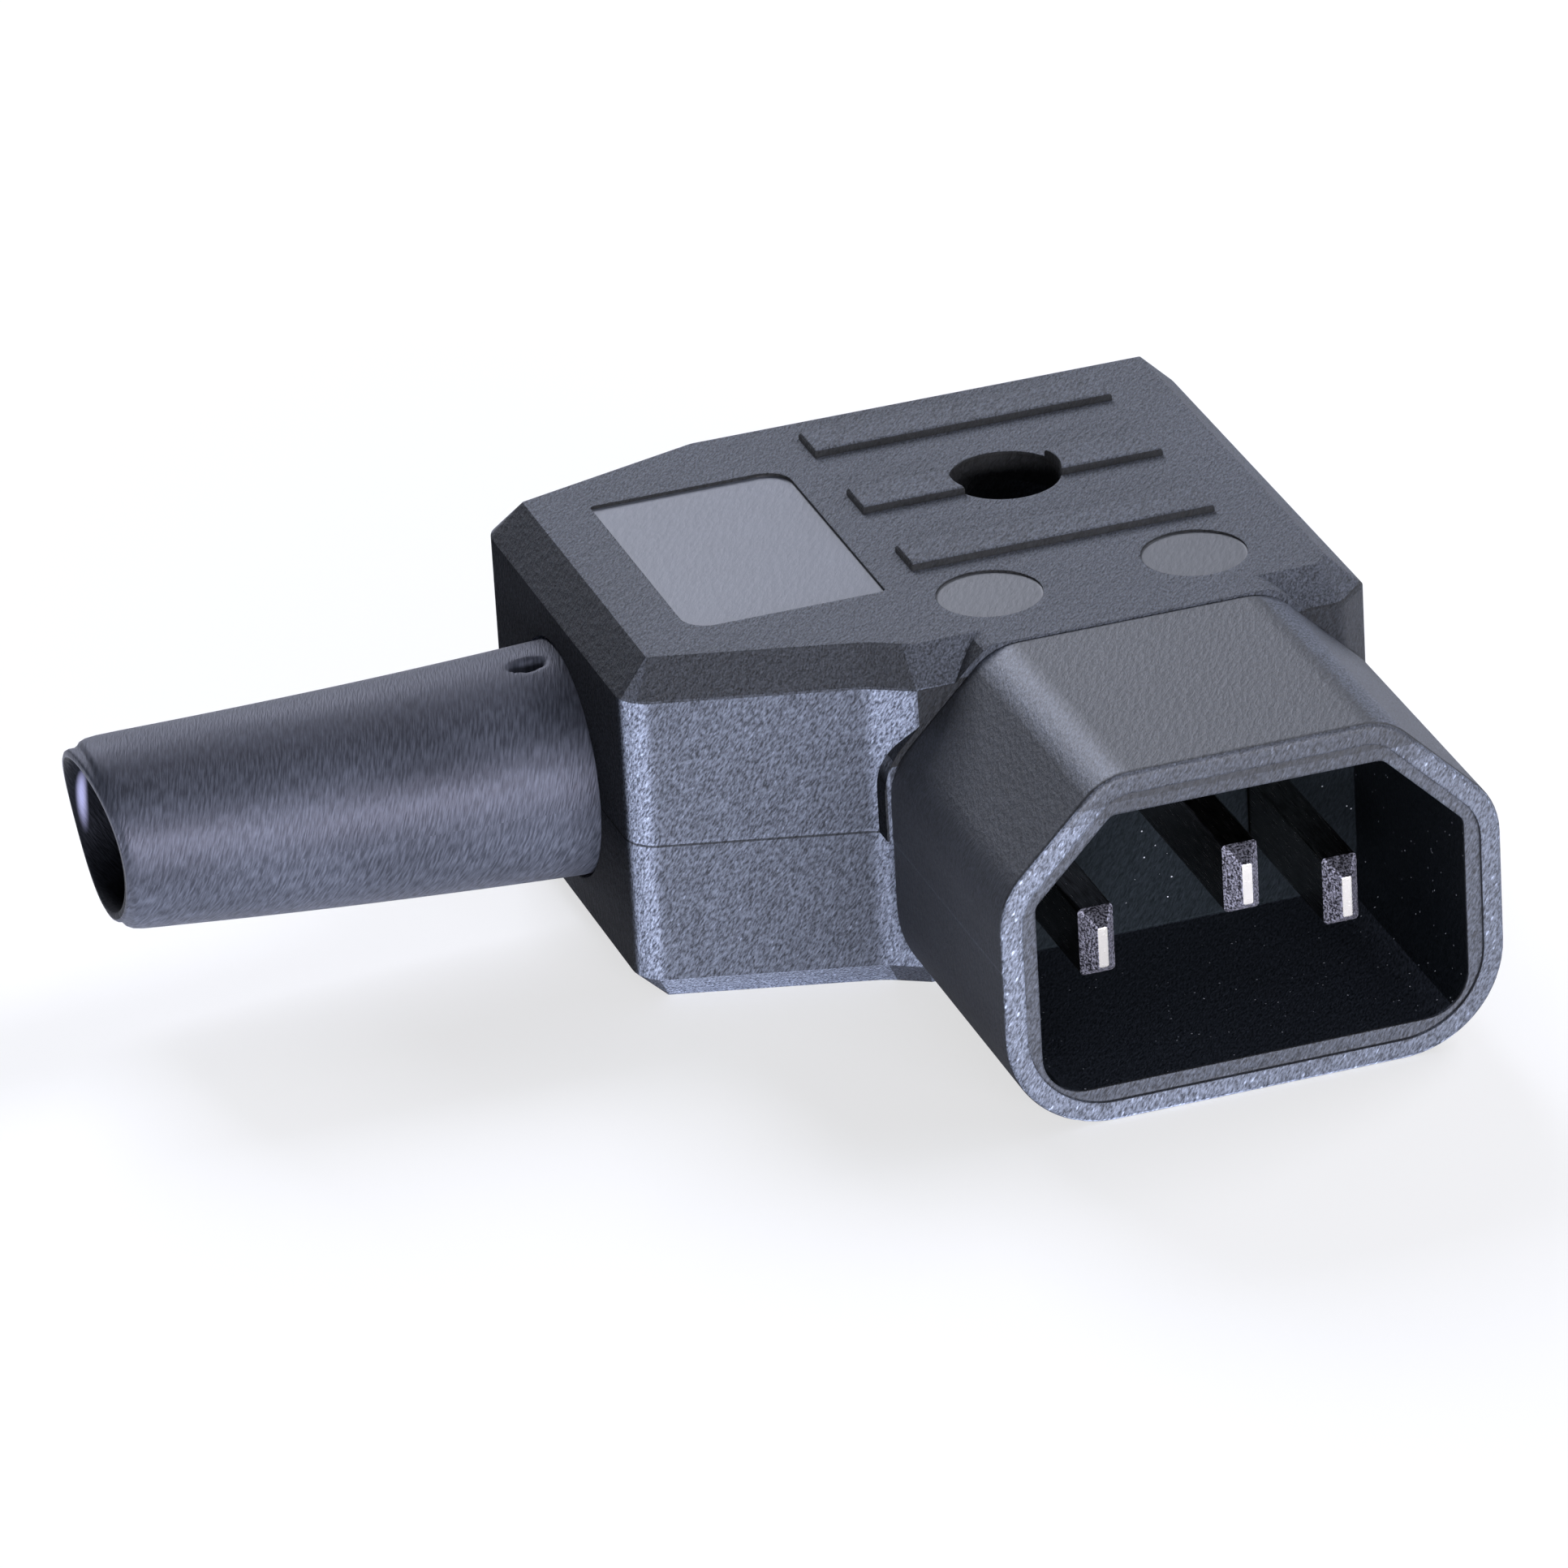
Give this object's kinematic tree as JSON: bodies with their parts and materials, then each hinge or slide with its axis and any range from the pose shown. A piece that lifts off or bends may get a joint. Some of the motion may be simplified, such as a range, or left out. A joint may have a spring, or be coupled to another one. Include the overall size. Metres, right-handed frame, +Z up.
{
  "type": "right-angle iec plug",
  "caption": "Right-angle rewireable inlet plug: a two-shell housing with a chamfered collar round flat pins, and a soft cable boot leaving sideways.",
  "frame": {"origin": "centre of the collar mouth, in the plane of its rim", "axes": "+X along the body away from the cable, +Y into the collar, +Z up towards the cover"},
  "size_m": [0.0685, 0.051, 0.021],
  "materials": {
    "housing_plastic": "spark-eroded matt black moulding",
    "boot_rubber": "satin soft moulding",
    "inner_plastic": "plain moulding",
    "pin_metal": "nickel-plated brass",
    "screw_steel": "zinc-plated steel"
  },
  "bodies": {
    "root": {"cable_boot": "boot_rubber", "cord_grip": "inner_plastic", "cord_grip_screw_front": "screw_steel", "cord_grip_screw_rear": "screw_steel", "earth_pin": "pin_metal", "earth_terminal_screw": "screw_steel", "earth_wire_clamp": "screw_steel", "housing_nut": "screw_steel", "housing_screw": "screw_steel", "housing_screw_washer": "screw_steel", "line_pin": "pin_metal", "line_terminal_screw": "screw_steel", "line_wire_clamp": "screw_steel", "lower_shell": "housing_plastic", "neutral_pin": "pin_metal", "neutral_terminal_screw": "screw_steel", "neutral_wire_clamp": "screw_steel", "terminal_retainer": "inner_plastic", "upper_shell": "housing_plastic"}
  },
  "joints": []
}
